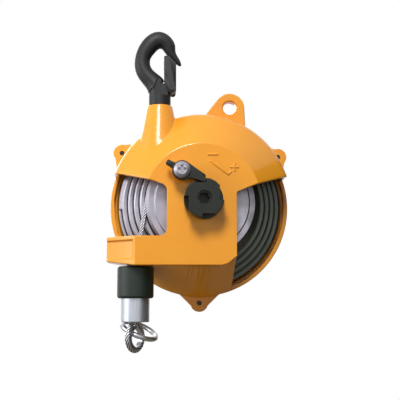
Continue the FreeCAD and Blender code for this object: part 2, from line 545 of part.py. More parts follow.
def make_drum():
    chamber_front = DRUM_FRONT + 6.0
    tube_r = CHAMBER_R + CHAMBER_WALL
    blank = turned([
        (SPINDLE_R + BUSH_WALL, DRUM_FRONT), (DISC_R, DRUM_FRONT), (DISC_R + 0.8, CONE_FRONT - 2),
        (LIP_R, CONE_FRONT - 2), (LIP_R, CONE_FRONT), (CONE_LARGE_R, CONE_BACK), (CONE_LARGE_R, DRUM_BACK),
        (CONE_LARGE_R - DRUM_WALL, DRUM_BACK), (tube_r + 2, CONE_FRONT + 12), (tube_r, CONE_FRONT + 12),
        (tube_r, DRUM_BACK), (CHAMBER_R, DRUM_BACK), (CHAMBER_R, chamber_front), (HUB_R, chamber_front),
        (HUB_R, chamber_front + 8), (SPINDLE_R + BUSH_WALL, chamber_front + 8)])
    reach, half = 5.0, GROOVE_W / 2             # half the height and width of the groove's cutter
    spiral = cone_helix(FLOOR_R + reach, GROOVE_START + half, GROOVE_TURNS, leave_angle() + RUN_OUT)
    mouth = reach + 3
    cutter = groove_sweep(spiral, [(-reach, -half), (-reach, half), (mouth, half), (mouth, -half)])
    drum = blank.cut(cutter)
    save("drum_front_bush", bush(DRUM_FRONT, chamber_front + 8))

    turns = GROOVE_TURNS - RUN_OUT / 360 - 0.05
    start = GAP / LEAVE_R                       # angle that keeps the wound rope clear of the free rope
    lead = start / (2 * math.pi)                # the same, in turns
    spiral = cone_helix(LEAVE_R + FLOOR_SLOPE * GROOVE_PITCH * lead, LEAVE_Y + GROOVE_PITCH * lead, turns,
                        leave_angle() - math.degrees(start))
    flat = ROPE_R * 0.86                        # the wound rope is drawn square, with a round rope's area
    save("wound_rope", groove_sweep(spiral, [(flat, flat), (flat, -flat), (-flat, -flat), (-flat, flat)]))

    lid = turned([(SPINDLE_R + BUSH_WALL, DRUM_BACK - 8), (HUB_R, DRUM_BACK - 8), (HUB_R, DRUM_BACK),
                  (tube_r, DRUM_BACK), (tube_r, DRUM_BACK + 3), (SPINDLE_R + BUSH_WALL, DRUM_BACK + 3)])
    screws, holes = [], []
    for i in range(4):
        face = on_circle(CHAMBER_R + CHAMBER_WALL / 2, 45 + 90 * i, DRUM_BACK + 3)
        holes.append(rod(face + FRONT * 9, face + REAR, 1.5))
        screws.append(rod(face + FRONT * 8, face, 1.5).fuse(rod(face, face + REAR * 1.6, 2.2)))
    save("drum", drum.cut(holes))
    save("spring_lid", lid.cut(holes))
    save("spring_lid_screws", Part.makeCompound(screws))
    save("drum_rear_bush", bush(DRUM_BACK - 8, DRUM_BACK + 3))


def make_mainspring():
    """A flat spiral strip, made of half turns that grow by half a pitch each."""
    strip, half_turns = 1.6, 9
    r = SPINDLE_R + GAP
    pitch = 2 * (CHAMBER_R - PLAY - strip - r) / (half_turns - 1)
    centre = 0.0
    inner, outer = [], []
    side = 1
    for i in range(half_turns):
        for rows, radius in ((inner, r), (outer, r + strip)):
            rows.append((Vector(centre + side * radius, 0, 0), Vector(centre, 0, side * radius),
                         Vector(centre - side * radius, 0, 0)))
        r += pitch / 2
        centre += side * pitch / 2
        side = -side
    edges = [Part.Arc(*points).toShape() for points in inner]
    edges.append(Part.makeLine(inner[-1][2], outer[-1][2]))
    edges += [Part.Arc(*points).toShape() for points in reversed(outer)]
    edges.append(Part.makeLine(outer[0][0], inner[0][0]))
    face = Part.Face(Part.Wire(Part.__sortEdges__(edges)))
    front = DRUM_FRONT + 6.0 + 8.0 + GAP
    face.translate(Vector(0, front, 0))
    return face.extrude(REAR * (DRUM_BACK - 8.0 - GAP - front))


# ---------------------------------------------------------------- spindle, ratchet wheel and pawl
def make_spindle():
    back = COVER_DEPTH - 1.0
    spindle = rod(Vector(0, RATCHET_FRONT + 3, 0), Vector(0, back, 0), SPINDLE_R)
    spindle = spindle.cut(hexagon_prism(SOCKET_FLATS, Vector(0, RATCHET_FRONT + 2, 0), REAR, SOCKET_D))
    wheel = turned([(SPINDLE_R, RATCHET_BACK), (RATCHET_R, RATCHET_BACK), (RATCHET_R, RATCHET_FRONT),
                    (SPINDLE_R - 0.8, RATCHET_FRONT), (SPINDLE_R - 0.8, RATCHET_FRONT + 3),
                    (SPINDLE_R, RATCHET_FRONT + 3)], rounds={2: 1.0})
    for i in range(4):
        notch = block((-RATCHET_R - 1, NOTCH_STEP), (RATCHET_FRONT - 1, RATCHET_BACK - RATCHET_BASE),
                      (NOTCH_FLOOR, RATCHET_R + 1))
        notch.rotate(Vector(0, 0, 0), REAR, 90 * i)
        wheel = wheel.cut(notch)
    key = block((-2, 2), (RATCHET_FRONT + 4, RATCHET_BACK - 1), (SPINDLE_R - 2, SPINDLE_R + 2))
    save("ratchet_wheel", wheel.cut(key))
    save("ratchet_key", key)
    save("spindle", spindle.cut(key))
    clips = []
    for y in (DRUM_FRONT - 2.2, DRUM_BACK + 3 + GAP + 1.0):
        clips.append(turned([(SPINDLE_R, y), (SPINDLE_R + 3.4, y), (SPINDLE_R + 3.4, y + 1.2), (SPINDLE_R, y + 1.2)]))
    save("spindle_circlips", Part.makeCompound(clips))
    save("front_spindle_bush", bush(PLATE_Y, DRUM_FRONT - 3))


def make_pawl():
    pivot = Vector(PAWL_X, PAWL_BACK, PAWL_Z)
    tip_x, tip_low, tip_high = NOTCH_STEP - GAP, NOTCH_FLOOR + 0.5, 22.2
    rest = math.radians(-80)
    top = math.radians(62)
    body = rod(pivot + FRONT * PAWL_T, pivot, PAWL_R)
    nose = plate([(PAWL_X + PAWL_R * math.cos(top), PAWL_Z + PAWL_R * math.sin(top)), (tip_x, tip_high),
                  (tip_x, tip_low), (-12.0, 19.3),
                  (PAWL_X + PAWL_R * math.cos(rest), PAWL_Z + PAWL_R * math.sin(rest)),
                  (PAWL_X - 4, PAWL_Z)], PAWL_BACK - PAWL_T, PAWL_T, {1: 1.2})
    a = math.radians(PAWL_TAIL_ANGLE)
    along, across = Vector(math.cos(a), 0, math.sin(a)), Vector(-math.sin(a), 0, math.cos(a))
    end = along * PAWL_TAIL_L
    side = across * (PAWL_TAIL_W / 2)
    corners = [side * 1.8, side * -1.8, along * PAWL_R - side * 1.3, end - side, end + side,
               along * PAWL_R + side * 1.3]
    tail = plate([(PAWL_X + c.x, PAWL_Z + c.z) for c in corners], PAWL_BACK - PAWL_T + 2, PAWL_T - 3,
                 {3: 1.5, 4: 1.5})
    pawl = body.fuse([nose, tail]).cut(rod(pivot + REAR, pivot + FRONT * 20, PAWL_SCREW_R + FIT))
    save("pawl", pawl)
    face = PAWL_BACK - PAWL_T - GAP
    head = turned([(0, face), (PAWL_HEAD_R, face), (PAWL_HEAD_R, face - 2.5), (PAWL_HEAD_R - 3, face - PAWL_HEAD_H),
                   (0, face - PAWL_HEAD_H)], Vector(PAWL_X, 0, PAWL_Z), {2: 2.0})
    screw = head.fuse(rod(Vector(PAWL_X, face, PAWL_Z), Vector(PAWL_X, PLATE_Y + 11, PAWL_Z), PAWL_SCREW_R))
    slot = 1.3
    for size in ((4.2, slot), (slot, 4.2)):
        screw = screw.cut(block((PAWL_X - size[0], PAWL_X + size[0]),
                                (face - PAWL_HEAD_H - 1, face - PAWL_HEAD_H + 2.2),
                                (PAWL_Z - size[1], PAWL_Z + size[1])))
    save("pawl_screw", screw)


# ---------------------------------------------------------------- rope, stopper and loop
# The rope leaves the drum as a tangent at the small end of the spiral, bends gently in the guide bush and
# then hangs straight down to its ferrule.
STOPPER_TOP = GUIDE_BOTTOM - GAP
STOPPER_BOTTOM = STOPPER_TOP - STOPPER_L
FERRULE_BOTTOM = STOPPER_BOTTOM - FERRULE_TAIL
LOOP_CENTRE_Z = FERRULE_BOTTOM - LOOP_L + LOOP_R + ROPE_R


def rope_spine():
    """The line of the free rope: a straight run, an arc as large as the bush allows, and a straight drop."""
    start, end = on_circle(LEAVE_R, leave_angle(), LEAVE_Y), Vector(ROPE_X, ROPE_Y, STOPPER_BOTTOM + 4)
    back, ahead = (start - KNEE).normalize(), (end - KNEE).normalize()
    half = back.getAngle(ahead) / 2
    reach = 5.0
    radius = reach * math.tan(half)
    middle = KNEE + (back + ahead).normalize() * (radius / math.sin(half) - radius)
    first, last = KNEE + back * reach, KNEE + ahead * reach
    print("rope bends to a radius of", round(radius, 1))
    return Part.Wire([Part.makeLine(start, first), Part.Arc(first, middle, last).toShape(),
                      Part.makeLine(last, end)])


def round_bar(spine, radius):
    """A round bar bent along a spine of straight runs and tangent arcs."""
    first = spine.Edges[0]
    start, direction = spine.Vertexes[0].Point, first.tangentAt(first.FirstParameter)
    pipe = Part.BRepOffsetAPI.MakePipeShell(spine)
    pipe.add(Part.Wire(Part.Circle(start, direction, radius).toShape()))
    pipe.build()
    pipe.makeSolid()
    return pipe.shape()


def loop_point(u, z):
    """A point of the loop's own plane: u across it from the rope's axis, z up."""
    a = math.radians(LOOP_TURN)
    return Vector(ROPE_X + u * math.cos(a), ROPE_Y + u * math.sin(a), z)


def eye_line(radius, neck, top):
    """An open eye: two legs that start a neck's width apart at the top and run round a circle as tangents."""
    z = LOOP_CENTRE_Z
    rise = top - z
    angle = math.pi - math.atan2(rise, neck) + math.acos(radius / math.hypot(neck, rise))
    touch_u, touch_z = radius * math.cos(angle), z + radius * math.sin(angle)
    left, right = loop_point(-neck, top), loop_point(neck, top)
    touch_left, touch_right = loop_point(touch_u, touch_z), loop_point(-touch_u, touch_z)
    low = loop_point(0, z - radius)
    return Part.Wire([Part.makeLine(left, touch_left), Part.Arc(touch_left, low, touch_right).toShape(),
                      Part.makeLine(touch_right, right)])


def make_rope_end():
    spine = rope_spine()
    rope = round_bar(spine, ROPE_R)
    print("rope volume over section times length",
          round(rope.Volume / (math.pi * ROPE_R ** 2 * spine.Length), 4))
    save("rope_run", rope)

    bore = ROPE_R + GAP
    save("rubber_stopper", upright(
        [(bore, STOPPER_TOP), (STOPPER_R, STOPPER_TOP), (STOPPER_R, STOPPER_BOTTOM), (FERRULE_R, STOPPER_BOTTOM),
         (FERRULE_R, STOPPER_BOTTOM + 4), (bore, STOPPER_BOTTOM + 4)], ROPE_X, ROPE_Y, {1: 2.5, 2: 2.5}))
    ferrule = upright(
        [(0, FERRULE_BOTTOM), (FERRULE_R, FERRULE_BOTTOM), (FERRULE_R, STOPPER_BOTTOM + 4), (0, STOPPER_BOTTOM + 4)],
        ROPE_X, ROPE_Y, {1: 1.0})
    save("ferrule", ferrule)
    loop = round_bar(eye_line(LOOP_R, ROPE_R + 0.4, FERRULE_BOTTOM + ROPE_R), ROPE_R)
    save("rope_loop", loop.cut(ferrule))

    liner_r = LOOP_R - ROPE_R - THIMBLE_T / 2 - FIT
    line = eye_line(liner_r, 0.9, FERRULE_BOTTOM - 4.0)
    start, direction = line.Vertexes[0].Point, line.Edges[0].tangentAt(0)
    turn = math.radians(LOOP_TURN)
    across = Vector(-math.sin(turn), math.cos(turn), 0)
    inward = across.cross(direction)
    half_w, t = ROPE_R + 0.4, THIMBLE_T / 2
    strip = [start + across * a + inward * b for a, b in
             ((-half_w, -t), (half_w, -t), (half_w, t), (-half_w, t))]
    save("thimble", swept(line, Part.makePolygon(strip + strip[:1]), across))


RING_WAY = loop_point(-2.2, LOOP_CENTRE_Z + 3.5)    # where the ring's wire passes through the loop


def ring_turn():
    """How the ring lies: nodded towards the front, leaned to the right and turned about the vertical."""
    return Rotation(REAR, RING_TILT).multiply(Rotation(Vector(1, 0, 0), RING_NOD))


def make_load_ring():
    """A closed ring through the loop: it lies round one leg, tilted, as it comes to rest when set down."""
    a = math.radians(RING_TURN)
    towards_centre = ring_turn().multVec(Vector(math.cos(a), math.sin(a), 0))
    ring = Part.makeTorus(RING_R, RING_WIRE_R)
    ring.Placement = Placement(RING_WAY + towards_centre * RING_R, ring_turn())
    save("load_ring", ring)


def make_guide_bush():
    top = GUIDE_BOTTOM + GUIDE_FLOOR
    save("rope_guide_bush", upright(
        [(BUSH_BORE_R, GUIDE_BOTTOM), (BUSH_R, GUIDE_BOTTOM), (BUSH_R, top), (BUSH_R + 2.5, top),
         (BUSH_R + 2.5, top + 2), (BUSH_BORE_R + 3, top + 2), (BUSH_BORE_R, top - 4)], ROPE_X, ROPE_Y))


make_hook()
make_latch()
make_front_casting()
make_rear_cover()
make_drum()
save("mainspring", make_mainspring())
make_spindle()
make_pawl()
make_rope_end()
make_guide_bush()
make_load_ring()
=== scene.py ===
import bmesh
import bpy
import numpy as np
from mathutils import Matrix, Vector


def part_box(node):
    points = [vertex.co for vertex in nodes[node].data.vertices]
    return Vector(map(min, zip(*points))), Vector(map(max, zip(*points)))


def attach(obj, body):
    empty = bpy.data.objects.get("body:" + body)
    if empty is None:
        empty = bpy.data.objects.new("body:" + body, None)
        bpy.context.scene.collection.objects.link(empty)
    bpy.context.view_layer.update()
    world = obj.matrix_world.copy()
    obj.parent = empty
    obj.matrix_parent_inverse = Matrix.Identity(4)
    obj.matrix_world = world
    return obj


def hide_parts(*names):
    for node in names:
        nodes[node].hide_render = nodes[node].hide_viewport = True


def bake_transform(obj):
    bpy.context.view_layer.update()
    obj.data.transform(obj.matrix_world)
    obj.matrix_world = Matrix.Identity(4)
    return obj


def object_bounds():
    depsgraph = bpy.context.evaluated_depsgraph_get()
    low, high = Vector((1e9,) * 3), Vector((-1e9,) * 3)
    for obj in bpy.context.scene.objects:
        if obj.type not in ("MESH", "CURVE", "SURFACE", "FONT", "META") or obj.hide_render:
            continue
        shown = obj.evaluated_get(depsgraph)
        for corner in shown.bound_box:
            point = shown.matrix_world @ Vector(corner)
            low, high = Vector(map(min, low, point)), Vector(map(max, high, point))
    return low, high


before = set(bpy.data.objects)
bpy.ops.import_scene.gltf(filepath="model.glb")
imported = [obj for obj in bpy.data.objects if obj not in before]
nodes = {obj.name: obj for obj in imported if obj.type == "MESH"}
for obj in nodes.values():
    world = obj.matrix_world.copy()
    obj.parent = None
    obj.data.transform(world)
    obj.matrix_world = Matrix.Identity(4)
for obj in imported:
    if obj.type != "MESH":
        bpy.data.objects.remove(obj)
cad_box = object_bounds()


# ---------------------------------------------------------------- front casting
# The housing's front half is pressure die-cast aluminium in one piece: plate, windows, hook boss, safety
# lug and rope guide. Its edges are rounded by the die and softened again by the stoved orange enamel that is
# sprayed over it.
def linear(code):
    """A colour written as six hex digits, turned from sRGB to linear light, with full opacity."""
    parts = np.array([int(code[i:i + 2], 16) / 255 for i in (0, 2, 4)])
    parts = np.where(parts <= 0.04045, parts / 12.92, ((parts + 0.055) / 1.055) ** 2.4)
    return (*parts, 1.0)


def material(name):
    """A new material with an empty shader, and its node tree and shader."""
    made = bpy.data.materials.new(name)
    made.use_nodes = True
    return made, made.node_tree, made.node_tree.nodes["Principled BSDF"]


def add(tree, kind, values=None, links=None, **settings):
    """Adds a shader node, sets its properties and its sockets' values, and joins sources to its sockets."""
    made = tree.nodes.new("ShaderNode" + kind)
    for key, value in settings.items():
        setattr(made, key, value)
    for socket, value in (values or {}).items():
        made.inputs[socket].default_value = value
    for socket, source in (links or {}).items():
        tree.links.new(source, made.inputs[socket])
    return made


def dress(node, finish):
    """Gives a CAD node's object this material."""
    data = nodes[node].data
    data.materials.clear()
    data.materials.append(finish)


def softened(node, name, finish, body, width, segments=3):
    """A copy of a CAD node with its edges rounded: coincident corners are merged and flat faces joined, and
    every edge sharper than 30 degrees that has room on both its faces gets a round of this width. An edge
    stays crisp where the next sharp one is nearer than 1.8 widths, or where a short edge meets its end."""
    mesh = bmesh.new()
    mesh.from_mesh(nodes[node].data)
    bmesh.ops.remove_doubles(mesh, verts=mesh.verts, dist=1e-6)
    bmesh.ops.dissolve_limit(mesh, angle_limit=np.radians(0.6), verts=mesh.verts, edges=mesh.edges,
                             use_dissolve_boundaries=False)
    room = 1.8 * width
    rounding = mesh.edges.layers.float.new("bevel_weight_edge")
    sharp = np.radians(30)
    arrises = {edge for edge in mesh.edges if edge.is_manifold and edge.calc_face_angle() > sharp}
    tight = set()
    for point in mesh.verts:
        mine = arrises.intersection(point.link_edges)
        runs_on = len(mine) == 2
        others = [edge.calc_length() for edge in point.link_edges if not (runs_on and edge in mine)]
        if mine and others and min(others) < (room / 2 if runs_on else room):
            tight.add(point)
    for edge in arrises:
        middle = (edge.verts[0].co + edge.verts[1].co) / 2
        clear = not tight.intersection(edge.verts)
        for other in {k for face in edge.link_faces for k in face.edges if k in arrises}:
            if clear and not set(other.verts) & set(edge.verts):
                first, way = other.verts[0].co, other.verts[1].co - other.verts[0].co
                share = min(max((middle - first).dot(way) / way.length_squared, 0), 1)
                clear = (first + way * share - middle).length > room
        edge[rounding] = float(clear)
        edge.smooth = clear
    data = bpy.data.meshes.new(name)
    mesh.to_mesh(data)
    mesh.free()
    data.polygons.foreach_set("use_smooth", np.ones(len(data.polygons), bool))
    data.materials.append(finish)
    piece = bpy.data.objects.new(name, data)
    bpy.context.scene.collection.objects.link(piece)
    bevel = piece.modifiers.new("round", "BEVEL")
    bevel.width, bevel.segments, bevel.limit_method = width, segments, "WEIGHT"
    bevel.use_clamp_overlap = False
    bevel.harden_normals = True
    weighted = piece.modifiers.new("faces", "WEIGHTED_NORMAL")
    weighted.keep_sharp = True
    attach(piece, body)
    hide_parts(node)
    return piece


# Stoved enamel over a casting: a slightly uneven tone, a fine orange peel about 1.5 mm across, and a clear
# gloss on top.
enamel, tree, shader = material("orange_enamel")
place = add(tree, "TexCoord").outputs["Object"]
cloud = add(tree, "TexNoise", {"Scale": 28.0, "Detail": 3.0}, {"Vector": place})
tone = add(tree, "MixRGB", {"Color1": linear("e99416"), "Color2": linear("f1a323")},
           {"Fac": cloud.outputs["Fac"]})
peel = add(tree, "TexNoise", {"Scale": 650.0, "Detail": 2.0}, {"Vector": place})
bump = add(tree, "Bump", {"Strength": 0.10, "Distance": 0.0006}, {"Height": peel.outputs["Fac"]})
tree.links.new(tone.outputs["Color"], shader.inputs["Base Color"])
tree.links.new(bump.outputs["Normal"], shader.inputs["Normal"])
shader.inputs["Roughness"].default_value = 0.42
shader.inputs["Specular IOR Level"].default_value = 0.30
shader.inputs["Coat Weight"].default_value = 0.5
shader.inputs["Coat Roughness"].default_value = 0.12
casting = softened("front_housing", "casting", enamel, "housing", width=0.0011)


# ---------------------------------------------------------------- rear cover
# A dished and ribbed aluminium casting that closes the housing from behind and carries the rear bush. It
# has the same enamel.
cover = softened("rear_cover", "cover", enamel, "housing", width=0.0008)


# ---------------------------------------------------------------- hook and latch
# The upper hook is drop forged, turned at its shank and painted black. The forging keeps a faint scale.
forged, tree, shader = material("forged_black")
place = add(tree, "TexCoord").outputs["Object"]
scale = add(tree, "TexNoise", {"Scale": 420.0, "Detail": 4.0, "Roughness": 0.6}, {"Vector": place})
bump = add(tree, "Bump", {"Strength": 0.22, "Distance": 0.0006}, {"Height": scale.outputs["Fac"]})
patch = add(tree, "TexNoise", {"Scale": 60.0, "Detail": 3.0}, {"Vector": place})
tone = add(tree, "MixRGB", {"Color1": linear("131314"), "Color2": linear("1d1d1e")},
           {"Fac": patch.outputs["Fac"]})
tree.links.new(tone.outputs["Color"], shader.inputs["Base Color"])
tree.links.new(bump.outputs["Normal"], shader.inputs["Normal"])
shader.inputs["Roughness"].default_value = 0.52
shader.inputs["Specular IOR Level"].default_value = 0.32
dress("upper_hook", forged)

# The latch is bent from sheet steel and dipped black, which is smoother and shinier than the forging.
latch_paint, tree, shader = material("latch_black")
place = add(tree, "TexCoord").outputs["Object"]
patch = add(tree, "TexNoise", {"Scale": 90.0, "Detail": 3.0}, {"Vector": place})
tone = add(tree, "MixRGB", {"Color1": linear("101011"), "Color2": linear("1a1a1b")},
           {"Fac": patch.outputs["Fac"]})
grain = add(tree, "TexNoise", {"Scale": 500.0, "Detail": 2.0}, {"Vector": place})
bump = add(tree, "Bump", {"Strength": 0.12, "Distance": 0.0004}, {"Height": grain.outputs["Fac"]})
tree.links.new(tone.outputs["Color"], shader.inputs["Base Color"])
tree.links.new(bump.outputs["Normal"], shader.inputs["Normal"])
shader.inputs["Roughness"].default_value = 0.42
shader.inputs["Specular IOR Level"].default_value = 0.35
latch = softened("hook_latch", "latch", latch_paint, "latch", width=0.0004, segments=2)

# Zinc-plated steel, on the nut under the boss with its pin and washer, the lid's screws, the circlips, the
# key, the mainspring, the thimble and the load ring: bright, with a cloudy bloom in patches of 3 mm.
plated, tree, shader = material("zinc_steel")
shader.inputs["Base Color"].default_value = linear("b9bbc0")
shader.inputs["Metallic"].default_value = 1.0
place = add(tree, "TexCoord").outputs["Object"]
haze = add(tree, "TexNoise", {"Scale": 300.0, "Detail": 4.0}, {"Vector": place})
rough = add(tree, "MapRange", {"To Min": 0.26, "To Max": 0.44}, {"Value": haze.outputs["Fac"]})
tree.links.new(rough.outputs["Result"], shader.inputs["Roughness"])
for node in ("hook_nut", "hook_nut_pin", "hook_thrust_washer", "spring_lid_screws", "spindle_circlips",
             "ratchet_key", "mainspring"):
    dress(node, plated)
# the latch's pin and spring were dipped with it
for node in ("latch_pin", "latch_spring"):
    dress(node, latch_paint)


# ---------------------------------------------------------------- drum
# The drum is a sand-cast aluminium cone. Its spiral groove and its front disc are turned, which leaves fine
# rings round the axis, about 0.5 mm apart. Painted shade darkens the grooves and the side that hangs at the
# right.
drum_low, drum_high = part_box("drum")
axis_x, axis_z = (drum_low.x + drum_high.x) / 2, (drum_low.z + drum_high.z) / 2
joint_behind_drum = 0.008
joint_y = drum_high.y + joint_behind_drum       # where the casting meets the cover

turned, tree, shader = material("turned_aluminium")
place = add(tree, "TexCoord").outputs["Object"]
centred = add(tree, "Mapping", {"Location": (-axis_x, 0, -axis_z)}, {"Vector": place})
patch = add(tree, "TexNoise", {"Scale": 70.0, "Detail": 5.0, "Roughness": 0.6}, {"Vector": place})
tone = add(tree, "MixRGB", {"Color1": linear("85828c"), "Color2": linear("bdb9c4")},
           {"Fac": patch.outputs["Fac"]})
parts = add(tree, "SeparateXYZ", None, {"Vector": centred.outputs["Vector"]})
flat = add(tree, "CombineXYZ", None, {"X": parts.outputs["X"], "Y": parts.outputs["Z"]})
reach = add(tree, "VectorMath", None, {0: flat.outputs["Vector"]}, operation="LENGTH")
ring_pitch = 0.0005
rings = add(tree, "Math", {1: 2 * np.pi / ring_pitch}, {0: reach.outputs["Value"]}, operation="MULTIPLY")
wave = add(tree, "Math", None, {0: rings.outputs[0]}, operation="SINE")
bump = add(tree, "Bump", {"Strength": 0.12, "Distance": 0.0002}, {"Height": wave.outputs[0]})
# Painted shade fills the groove. The flanks stay bright, and from 2.6 to 3.7 mm below the land between
# the turns they are painted black as shade. The land's radius grows by 0.8 mm for each millimetre behind the
# cone's front.
cone_front, cone_front_r, cone_slope, front_land = joint_y - 0.050, 0.053, 0.8, 0.0015
bright_to, black_from = 0.0026, 0.0037
land = add(tree, "Math", {1: cone_slope, 2: cone_front_r - cone_slope * cone_front},
           {0: parts.outputs["Y"]}, operation="MULTIPLY_ADD")
depth = add(tree, "Math", None, {0: land.outputs[0], 1: reach.outputs["Value"]}, operation="SUBTRACT")
deep = add(tree, "MapRange", {"From Min": bright_to, "From Max": black_from, "To Max": 1.0},
           {"Value": depth.outputs[0]})
on_cone = add(tree, "Math", {1: cone_front - front_land}, {0: parts.outputs["Y"]},
              operation="GREATER_THAN")
groove_shade = add(tree, "Math", None, {0: deep.outputs["Result"], 1: on_cone.outputs[0]}, operation="MULTIPLY")
# painted shade: the groove's deep part is mixed to near-black 1b1b1d
crevice_shaded = add(tree, "MixRGB", {"Color2": linear("1b1b1d")},
              {"Fac": groove_shade.outputs[0], "Color1": tone.outputs["Color"]})
# A painted shade also darkens the side that hangs at the right, with a cloudy edge about 20 mm wide, and
# reaches 34 mm further over the cone than over the disc.
cloudy, further_in = 0.018, 0.034
shade_starts, shade_full, shade_strength = 0.040, 0.062, 0.86
shade_cloud = add(tree, "TexNoise", {"Scale": 55.0, "Detail": 4.0}, {"Vector": place})
edge = add(tree, "MapRange", {"To Min": -cloudy, "To Max": cloudy}, {"Value": shade_cloud.outputs["Fac"]})
inward = add(tree, "Math", {1: further_in}, {0: on_cone.outputs[0], 2: edge.outputs["Result"]},
             operation="MULTIPLY_ADD")
reached = add(tree, "Math", None, {0: parts.outputs["X"], 1: inward.outputs[0]}, operation="ADD")
right_side_shade = add(tree, "MapRange",
             {"From Min": shade_starts, "From Max": shade_full, "To Max": shade_strength},
             {"Value": reached.outputs[0]})
# painted shade: the drum's right side is mixed towards dark green 333d2c
shade_painted_right = add(tree, "MixRGB", {"Color2": linear("333d2c")},
              {"Fac": right_side_shade.outputs["Result"], "Color1": crevice_shaded.outputs["Color"]})
tree.links.new(shade_painted_right.outputs["Color"], shader.inputs["Base Color"])
tree.links.new(bump.outputs["Normal"], shader.inputs["Normal"])
shader.inputs["Metallic"].default_value = 0.8
shader.inputs["Roughness"].default_value = 0.40
drum = softened("drum", "rope_drum", turned, "drum", width=0.0005, segments=2)
dress("spring_lid", turned)

# Sintered bronze bushes: a brown metal, mottled by the oil in its pores.
bronze, tree, shader = material("bush_bronze")
place = add(tree, "TexCoord").outputs["Object"]
patch = add(tree, "TexNoise", {"Scale": 200.0, "Detail": 3.0}, {"Vector": place})
tone = add(tree, "MixRGB", {"Color1": linear("94733f"), "Color2": linear("c09a58")},
           {"Fac": patch.outputs["Fac"]})
tree.links.new(tone.outputs["Color"], shader.inputs["Base Color"])
shader.inputs["Metallic"].default_value = 1.0
shader.inputs["Roughness"].default_value = 0.35
for node in ("drum_front_bush", "drum_rear_bush", "front_spindle_bush", "rear_spindle_bush"):
    dress(node, bronze)


# ---------------------------------------------------------------- wire rope
# Galvanised steel rope, 4.8 mm thick: six strands laid round a core, one turn of the lay in 21 mm. It fills
# the drum's groove from the small end, leaves it as a tangent and drops through the guide to the ferrule. The
# gaps between its strands carry painted shade and are drawn wider than real ones, so that they show.
wire, tree, shader = material("galvanised_rope")
place = add(tree, "TexCoord").outputs["Object"]
grime = add(tree, "TexNoise", {"Scale": 350.0, "Detail": 3.0}, {"Vector": place})
tone = add(tree, "MixRGB", {"Color1": linear("bcbbc4"), "Color2": linear("f2f1f8")},
           {"Fac": grime.outputs["Fac"]})
between = add(tree, "Attribute", attribute_name="valley")
gap = add(tree, "MapRange", {"From Min": 0.03, "From Max": 0.32, "To Max": 0.97},
          {"Value": between.outputs["Fac"]})
# painted shade: the gaps between strands are mixed towards near-black 161717
crevice_shaded = add(tree, "MixRGB", {"Color2": linear("161717")},
              {"Fac": gap.outputs["Result"], "Color1": tone.outputs["Color"]})
tree.links.new(crevice_shaded.outputs["Color"], shader.inputs["Base Color"])
shader.inputs["Metallic"].default_value = 0.85
shader.inputs["Roughness"].default_value = 0.38

# The rope's outline, as a radius at each angle: six round strands of a third of the rope's radius, whose
# centres stand at two thirds of it.
rope_r, lay, strands = 0.0024, 0.021, 6
strand_reach, strand_r = rope_r * 2 / 3, rope_r / 3
lobe = np.linspace(-np.pi, np.pi, 8, endpoint=False) / strands
half_chord = np.sqrt(np.maximum(strand_r ** 2 - (strand_reach * np.sin(lobe)) ** 2, 0))
outline_r = np.tile(strand_reach * np.cos(lobe) + half_chord, strands)
outline_a = (lobe + 2 * np.pi * np.arange(strands)[:, None] / strands).ravel()


def mesh_object(name, points, faces, finish):
    """An object of these points and faces with this material, in the scene."""
    data = bpy.data.meshes.new(name)
    data.from_pydata(points, [], faces)
    data.materials.append(finish)
    made = bpy.data.objects.new(name, data)
    bpy.context.scene.collection.objects.link(made)
    return made


def tube_faces(rows, count):
    """Faces of a closed tube of so many rings of so many points: four-sided ones that join each point and the
    next on its ring to the same two on the next ring, and one face over each end."""
    i, j = np.meshgrid(np.arange(rows - 1), np.arange(count), indexing="ij")
    right = (j + 1) % count
    sides = np.stack([i * count + j, i * count + right, (i + 1) * count + right, (i + 1) * count + j], -1)
    first_end, last_end = list(range(count))[::-1], list(range((rows - 1) * count, rows * count))
    return sides.reshape(-1, 4).tolist() + [first_end, last_end]


def distance_along(path):
    """The length of the path from its first point to each of its points."""
    return np.append(0, np.cumsum(np.linalg.norm(np.diff(path, axis=0), axis=1)))


def laid_rope(name, path, hold, along, finish):
    """A stranded rope: at each point of the path stands the outline of six touching round strands, square to
    the path, turned by one whole turn for each lay of length along it. Its first direction is hold. The
    attribute "valley" is 0 on a strand's crest and 1 where two strands meet."""
    ahead = np.gradient(path, axis=0)
    ahead /= np.linalg.norm(ahead, axis=1)[:, None]
    hold = np.array(hold, float)
    first = hold - (ahead @ hold)[:, None] * ahead
    first /= np.linalg.norm(first, axis=1)[:, None]
    second = np.cross(ahead, first)
    turn = outline_a[None, :] + 2 * np.pi * along[:, None] / lay
    points = path[:, None, :] + outline_r[None, :, None] * (
        np.cos(turn)[..., None] * first[:, None, :] + np.sin(turn)[..., None] * second[:, None, :])
    piece = mesh_object(name, points.reshape(-1, 3).tolist(), tube_faces(*turn.shape), finish)
    piece.data.shade_smooth()
    valley = np.tile((outline_r.max() - outline_r) / np.ptp(outline_r), len(path)).astype(np.float32)
    piece.data.attributes.new("valley", "FLOAT", "POINT").data.foreach_set("value", valley)
    return piece


# The spiral of the groove, about the drum's axis: each turn is 7.5 mm further back and 5.1 mm wider. The
# rope leaves it for the knee, where it turns down into the guide.
leave_r, leave_y, wound_turns = 0.05362, -0.0436, 3.965
turn_out, turn_back = 0.0051, 0.0075
knee = np.array([-0.0648, -0.045, -0.0607])
leave_angle = np.arctan2(knee[2], knee[0]) + 2 * np.pi - np.arccos(leave_r / np.hypot(knee[0], knee[2]))
turns = np.linspace(wound_turns, 0.001, 1600)
radius = leave_r + turn_out * turns
angle = leave_angle - 2 * np.pi * turns
spiral = np.stack([axis_x + radius * np.cos(angle), joint_y + leave_y + turn_back * turns,
                   axis_z + radius * np.sin(angle)], -1)
length = distance_along(spiral)
wound = laid_rope("wound_strands", spiral, (0, 1, 0), length - length[-1], wire)
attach(wound, "drum")
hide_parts("wound_rope")

